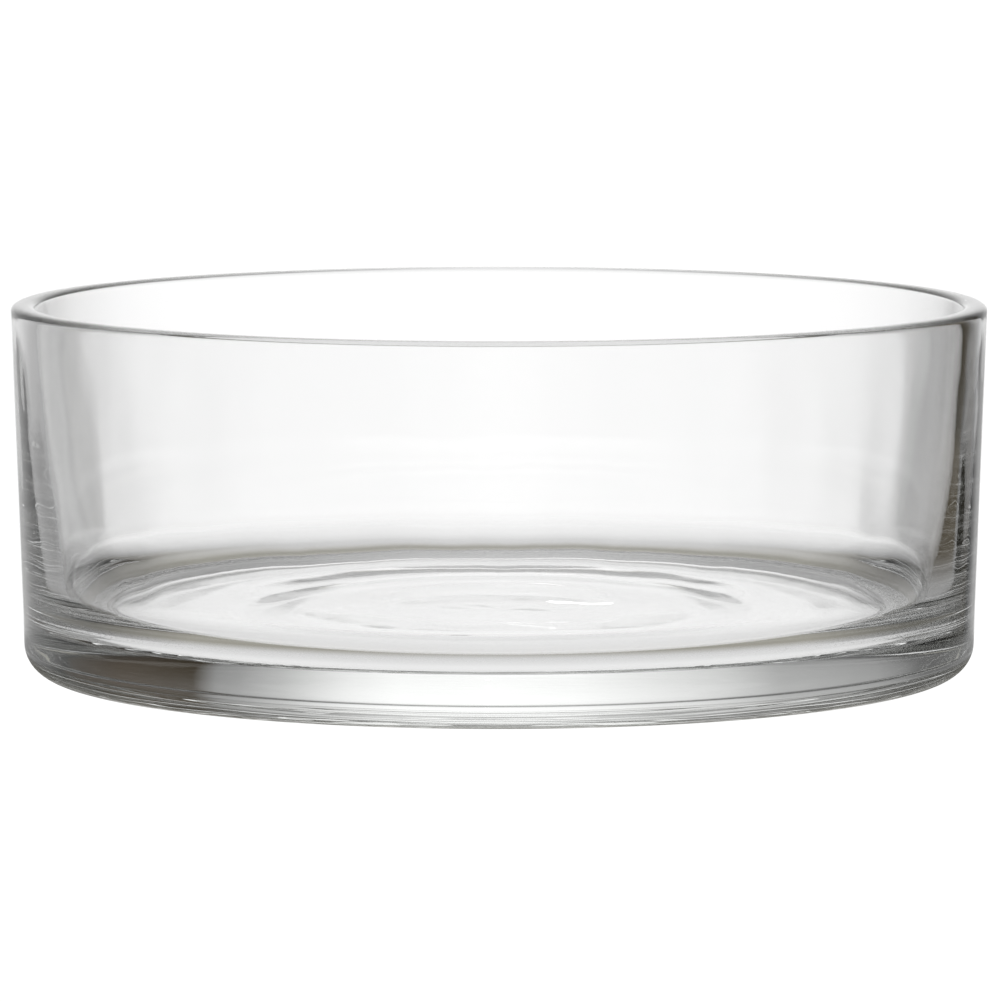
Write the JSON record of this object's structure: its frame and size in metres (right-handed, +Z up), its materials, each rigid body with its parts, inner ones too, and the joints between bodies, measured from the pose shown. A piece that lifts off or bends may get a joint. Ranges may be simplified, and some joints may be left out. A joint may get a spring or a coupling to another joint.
{
  "type": "crystallizing dish",
  "caption": "Heavy clear glass dish, round and flat-bottomed with an open top, near-upright thick walls, a rounded rim and a thick base with a hollowed underside.",
  "frame": {"origin": "on the dish's axis, at the height of the plane that its foot stands on", "axes": "+Z up along the dish's axis, towards the open top; the dish is round, so X and Y are free"},
  "size_m": [0.2, 0.2, 0.076],
  "materials": {
    "clear_glass": "clear, smooth, fire-polished"
  },
  "bodies": {
    "root": {"dish": "clear_glass"}
  },
  "joints": []
}
